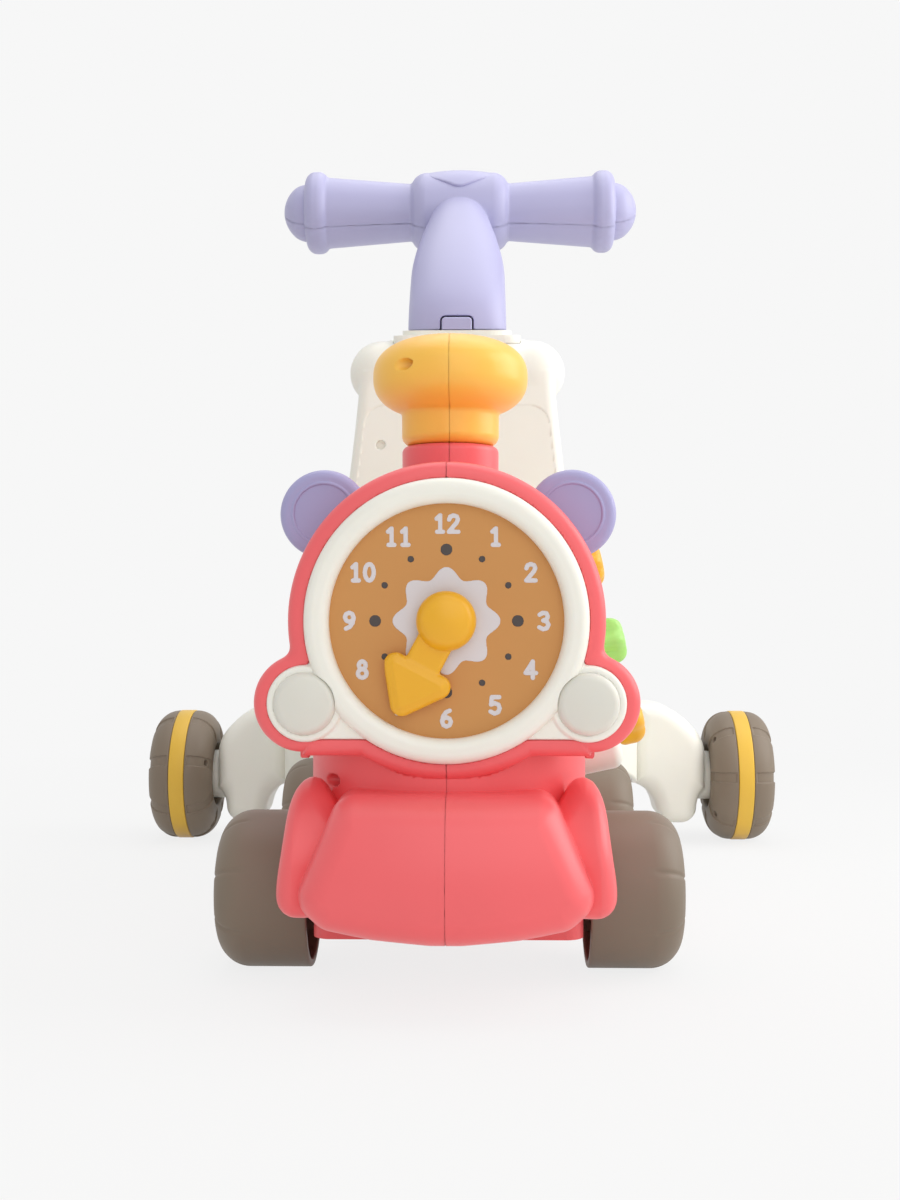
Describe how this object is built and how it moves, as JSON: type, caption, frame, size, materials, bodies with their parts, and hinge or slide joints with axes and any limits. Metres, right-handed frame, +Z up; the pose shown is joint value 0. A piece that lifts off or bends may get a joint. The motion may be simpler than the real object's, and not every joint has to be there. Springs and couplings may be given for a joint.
{
  "type": "ride on train",
  "caption": "Toddler's ride on train with a clock face, chimney grip, seat, backrest, three turning side spinners, a removable push handle and free-rolling wheels.",
  "frame": {"origin": "on the floor, under the middle of the whole train", "axes": "+X to the viewer's right when the clock face is looked at, +Y to the back of the train, +Z up"},
  "size_m": [0.4362, 0.5086, 0.4605],
  "materials": {
    "red": "coral red moulded plastic, soft sheen",
    "steel": "plated steel",
    "taupe": "taupe moulded plastic, fine grain",
    "ivory": "ivory moulded plastic, soft sheen",
    "brown": "tan dial, satin",
    "yellow": "yellow moulded plastic, soft sheen",
    "dark": "dark grey plastic and rubber",
    "board": "coated circuit board",
    "violet": "violet moulded plastic, soft sheen",
    "orange": "orange moulded plastic, soft sheen",
    "lavender": "lavender moulded plastic, soft sheen",
    "green": "light green moulded plastic, soft sheen"
  },
  "bodies": {
    "train": {"chassis_pan": "red", "front_axle": "steel", "middle_axle": "steel", "axle_caps": "taupe", "bumper_left": "red", "bumper_right": "red", "boiler_left": "red", "boiler_right": "red", "boiler_screws": "steel", "face_plate": "ivory", "dial": "brown", "switch_pads": "dark", "circuit_board": "board", "ear_left": "violet", "ear_right": "violet", "chimney_left": "orange", "chimney_right": "orange", "speaker": "dark", "battery_box": "dark", "battery_cells": "steel", "battery_door": "red", "body_left": "ivory", "body_right": "ivory", "body_screws": "steel", "seat": "ivory", "backrest_left": "ivory", "backrest_right": "ivory", "handle_socket": "ivory", "rear_deck": "ivory", "leg_left": "ivory", "leg_right": "ivory", "rear_axles": "steel", "rear_caps": "taupe", "side_panel": "ivory", "spinner_screws": "steel"},
    "front_roller_left": {"front_roller_left": "taupe"},
    "front_roller_right": {"front_roller_right": "taupe"},
    "middle_roller_left": {"middle_roller_left": "taupe"},
    "middle_roller_right": {"middle_roller_right": "taupe"},
    "wheel_left": {"wheel_left_inner": "taupe", "wheel_left_outer": "taupe", "wheel_left_band": "yellow", "wheel_left_screws": "steel"},
    "wheel_right": {"wheel_right_inner": "taupe", "wheel_right_outer": "taupe", "wheel_right_band": "yellow", "wheel_right_screws": "steel"},
    "clock_hand": {"clock_hand": "yellow", "hand_clip": "steel"},
    "lamp_left": {"lamp_left": "ivory"},
    "lamp_right": {"lamp_right": "ivory"},
    "handle": {"handle_upper": "lavender", "handle_lower": "lavender", "handle_plug": "lavender", "handle_pad": "lavender"},
    "release_button": {"release_button": "lavender"},
    "spinner_top": {"spinner_top": "yellow"},
    "spinner_middle": {"spinner_middle": "green"},
    "spinner_bottom": {"spinner_bottom": "yellow"}
  },
  "joints": [
    {"name": "front_roller_left_spin", "type": "hinge", "parent": "train", "child": "front_roller_left", "pos_m": [-0.08705, -0.1543, 0.036], "axis": [1, 0, 0], "continuous": true},
    {"name": "front_roller_right_spin", "type": "hinge", "parent": "train", "child": "front_roller_right", "pos_m": [0.08705, -0.1543, 0.036], "axis": [1, 0, 0], "continuous": true},
    {"name": "middle_roller_left_spin", "type": "hinge", "parent": "train", "child": "middle_roller_left", "pos_m": [-0.08705, 0.0677, 0.036], "axis": [1, 0, 0], "continuous": true},
    {"name": "middle_roller_right_spin", "type": "hinge", "parent": "train", "child": "middle_roller_right", "pos_m": [0.08705, 0.0677, 0.036], "axis": [1, 0, 0], "continuous": true},
    {"name": "wheel_left_spin", "type": "hinge", "parent": "train", "child": "wheel_left", "pos_m": [-0.19635, 0.2087, 0.0456], "axis": [1, 0, 0], "continuous": true},
    {"name": "wheel_right_spin", "type": "hinge", "parent": "train", "child": "wheel_right", "pos_m": [0.19635, 0.2087, 0.0456], "axis": [1, 0, 0], "continuous": true},
    {"name": "hand_turn", "type": "hinge", "parent": "train", "child": "clock_hand", "pos_m": [0, -0.2233, 0.1617], "axis": [0, 1, 0], "continuous": true},
    {"name": "lamp_left_press", "type": "slide", "parent": "train", "child": "lamp_left", "axis": [0, 1, 0], "range_m": [0, 0.0025], "stiffness_N_per_m": 800},
    {"name": "lamp_right_press", "type": "slide", "parent": "train", "child": "lamp_right", "axis": [0, 1, 0], "range_m": [0, 0.0025], "stiffness_N_per_m": 800},
    {"name": "handle_pull", "type": "slide", "parent": "train", "child": "handle", "axis": [0, -0.1478, 0.989], "range_m": [0, 0.06]},
    {"name": "release_press", "type": "slide", "parent": "handle", "child": "release_button", "axis": [0, 0.989, 0.1478], "range_m": [0, 0.003], "stiffness_N_per_m": 800},
    {"name": "spinner_top_spin", "type": "hinge", "parent": "train", "child": "spinner_top", "pos_m": [0.06181, -0.1223, 0.18708], "axis": [0.9763, 0, 0.2164], "continuous": true},
    {"name": "spinner_middle_spin", "type": "hinge", "parent": "train", "child": "spinner_middle", "pos_m": [0.07025, -0.1223, 0.149], "axis": [0.9763, 0, 0.2164], "continuous": true},
    {"name": "spinner_bottom_spin", "type": "hinge", "parent": "train", "child": "spinner_bottom", "pos_m": [0.0787, -0.1223, 0.11092], "axis": [0.9763, 0, 0.2164], "continuous": true}
  ]
}
